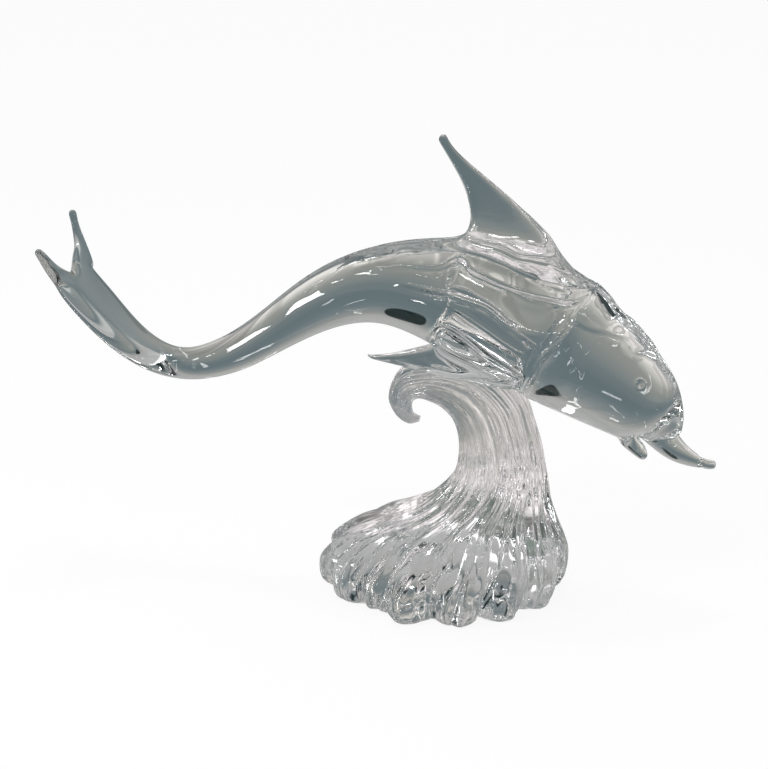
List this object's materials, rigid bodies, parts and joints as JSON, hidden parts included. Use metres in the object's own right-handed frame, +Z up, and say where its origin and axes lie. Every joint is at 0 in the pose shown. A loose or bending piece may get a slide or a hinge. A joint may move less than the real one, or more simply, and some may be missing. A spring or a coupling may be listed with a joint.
{
  "type": "glass dolphin sculpture",
  "caption": "Clear solid glass dolphin leaping over a ribbed, curling glass wave that is its base.",
  "frame": {"origin": "centre of the foot's flat underside", "axes": "+X towards the dolphin's beak, +Y towards the dolphin's left side, +Z up"},
  "size_m": [0.4475, 0.1584, 0.3077],
  "materials": {
    "dolphin": "fire polished clear glass",
    "wave_base": "fire polished clear glass, ground flat underneath"
  },
  "bodies": {
    "root": {"dolphin": "dolphin", "wave_base": "wave_base"}
  },
  "joints": []
}
